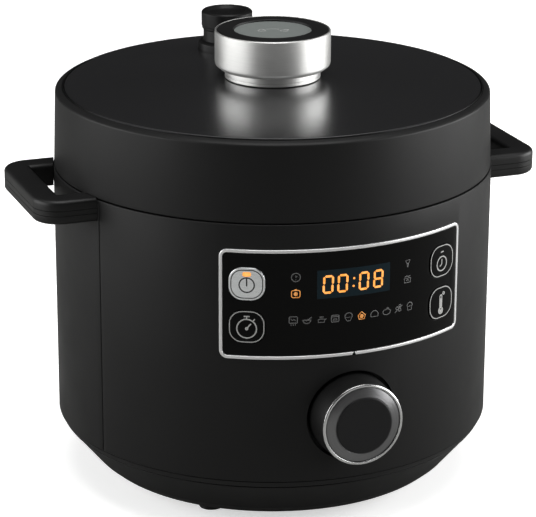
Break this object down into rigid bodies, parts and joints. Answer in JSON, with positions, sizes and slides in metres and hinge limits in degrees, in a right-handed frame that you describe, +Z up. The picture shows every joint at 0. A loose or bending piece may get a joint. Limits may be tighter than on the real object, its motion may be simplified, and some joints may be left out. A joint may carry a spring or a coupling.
{
  "type": "electric pressure cooker",
  "caption": "Round electric pressure cooker with a rear-hinged lid, a knob-turned bayonet lock, a steam valve, a button panel and a push-and-turn dial.",
  "frame": {"origin": "centre of the footprint at floor level, on the axis of the pot", "axes": "+Z up along the pot axis, -Y towards the control panel at the front, +X towards the right handle seen from the front"},
  "size_m": [0.3614, 0.341, 0.3123],
  "materials": {
    "matte_black": "fine matt moulding",
    "satin_plate": "satin black",
    "gloss_black": "gloss",
    "brushed_silver": "brushed",
    "grey_disc": "satin grey",
    "stainless": "stainless",
    "zinc": "zinc plated",
    "silicone": "translucent white silicone",
    "rubber": "matt",
    "pot_coating": "non-stick coated",
    "heater": "cast",
    "board": "circuit board",
    "clear_plastic": "clear"
  },
  "bodies": {
    "base": {"base_pan": "matte_black", "front_shell": "matte_black", "rear_shell": "matte_black", "top_collar": "matte_black", "handle_left": "matte_black", "handle_right": "matte_black", "foot_1": "rubber", "foot_2": "rubber", "foot_3": "rubber", "foot_4": "rubber", "base_screw_1": "zinc", "base_screw_2": "zinc", "base_screw_3": "zinc", "outer_pot": "stainless", "inner_pot": "pot_coating", "heating_plate": "heater", "locking_flange": "stainless", "power_board": "board", "control_board": "board", "display_module": "gloss_black", "mains_inlet": "matte_black", "panel_lens": "gloss_black", "panel_frame": "brushed_silver", "encoder_body": "zinc", "sensor_spring": "zinc", "hinge_bracket": "zinc", "hinge_pin": "stainless", "hinge_spring": "zinc"},
    "lid": {"lid_hinge_arm": "zinc", "lid_skirt": "matte_black", "lid_trim": "brushed_silver", "lid_top_plate": "satin_plate", "lid_liner": "matte_black", "inner_lid": "stainless", "gasket": "silicone", "steam_pipe": "stainless", "steam_shield": "stainless", "valve_collar": "matte_black", "knob_neck": "brushed_silver"},
    "lock_knob": {"knob_ring": "brushed_silver", "knob_top": "matte_black", "knob_badge": "grey_disc", "knob_shaft": "zinc", "lid_nut": "stainless", "lock_ring": "stainless"},
    "pressure_weight": {"valve_weight": "stainless"},
    "steam_cap": {"valve_cap": "matte_black"},
    "float": {"float_pin": "zinc", "float_seal": "silicone"},
    "power_button": {"power_button": "brushed_silver"},
    "timer_button": {"timer_button": "gloss_black"},
    "delay_button": {"delay_button": "gloss_black"},
    "temperature_button": {"temperature_button": "gloss_black"},
    "dial_carrier": {"encoder_shaft": "zinc"},
    "dial": {"dial_skirt": "matte_black", "dial_trim": "brushed_silver", "dial_face": "grey_disc"},
    "condensation_cup": {"condensation_cup": "clear_plastic"},
    "sensor": {"sensor_cup": "stainless"}
  },
  "joints": [
    {"name": "lid_hinge", "type": "hinge", "parent": "base", "child": "lid", "pos_m": [0, 0.1585, 0.221], "axis": [-1, 0, 0], "range_deg": [0, 80]},
    {"name": "knob_turn", "type": "hinge", "parent": "lid", "child": "lock_knob", "pos_m": [0, 0, 0.2791], "axis": [0, 0, -1], "range_deg": [0, 30]},
    {"name": "valve_lift", "type": "slide", "parent": "lid", "child": "pressure_weight", "axis": [0, 0, 1], "range_m": [0, 0.02]},
    {"name": "valve_turn", "type": "hinge", "parent": "pressure_weight", "child": "steam_cap", "pos_m": [0, 0.0925, 0.2927], "axis": [0, 0, -1], "range_deg": [0, 60]},
    {"name": "float_rise", "type": "slide", "parent": "lid", "child": "float", "axis": [0, 0, 1], "range_m": [0, 0.0032]},
    {"name": "power_push", "type": "slide", "parent": "base", "child": "power_button", "axis": [0.4509, 0.8926, 0], "range_m": [0, 0.001], "stiffness_N_per_m": 600, "springref_m": -0.0005},
    {"name": "timer_push", "type": "slide", "parent": "base", "child": "timer_button", "axis": [0.4509, 0.8926, 0], "range_m": [0, 0.001], "stiffness_N_per_m": 600, "springref_m": -0.0005},
    {"name": "delay_push", "type": "slide", "parent": "base", "child": "delay_button", "axis": [-0.4509, 0.8926, 0], "range_m": [0, 0.001], "stiffness_N_per_m": 600, "springref_m": -0.0005},
    {"name": "temperature_push", "type": "slide", "parent": "base", "child": "temperature_button", "axis": [-0.4509, 0.8926, 0], "range_m": [0, 0.001], "stiffness_N_per_m": 600, "springref_m": -0.0005},
    {"name": "dial_push", "type": "slide", "parent": "base", "child": "dial_carrier", "axis": [0, 1, 0], "range_m": [0, 0.001], "stiffness_N_per_m": 1500, "springref_m": -0.0005},
    {"name": "dial_turn", "type": "hinge", "parent": "dial_carrier", "child": "dial", "pos_m": [0, -0.1505, 0.0875], "axis": [0, -1, 0], "continuous": true},
    {"name": "cup_slide", "type": "slide", "parent": "base", "child": "condensation_cup", "axis": [0, 1, 0], "range_m": [0, 0.03]},
    {"name": "sensor_push", "type": "slide", "parent": "base", "child": "sensor", "axis": [0, 0, -1], "range_m": [0, 0.003], "stiffness_N_per_m": 500, "springref_m": -0.002, "deforming": ["sensor_spring"]}
  ]
}
